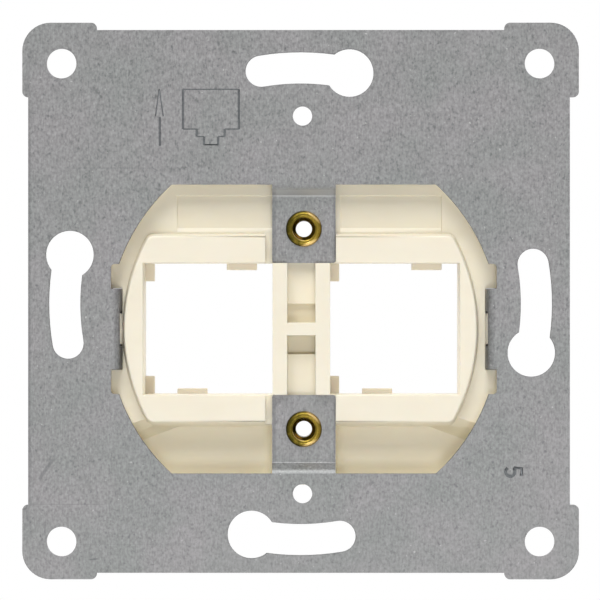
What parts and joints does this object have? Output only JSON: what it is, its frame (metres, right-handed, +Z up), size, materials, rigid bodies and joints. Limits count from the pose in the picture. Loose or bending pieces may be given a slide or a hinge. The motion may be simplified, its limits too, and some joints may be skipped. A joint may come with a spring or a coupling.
{
  "type": "modular jack faceplate",
  "caption": "Square sheet steel support plate with keyhole slots that carries a moulded insert with side by side jack openings and threaded bushes for a cover.",
  "frame": {"origin": "middle of the support plate's screw circle, on the plate's face against the wall", "axes": "+X to the right and +Z up as seen by a person facing the wall, +Y into the wall, so the front faces -Y"},
  "size_m": [0.071, 0.0134, 0.0709],
  "materials": {
    "galvanised_steel": "matt galvanised sheet with a fine mottled grain",
    "cream_plastic": "satin moulded polycarbonate",
    "brass": "turned and rolled brass"
  },
  "bodies": {
    "root": {"support_plate": "galvanised_steel", "jack_insert": "cream_plastic", "upper_threaded_bush": "brass", "lower_threaded_bush": "brass"}
  },
  "joints": []
}
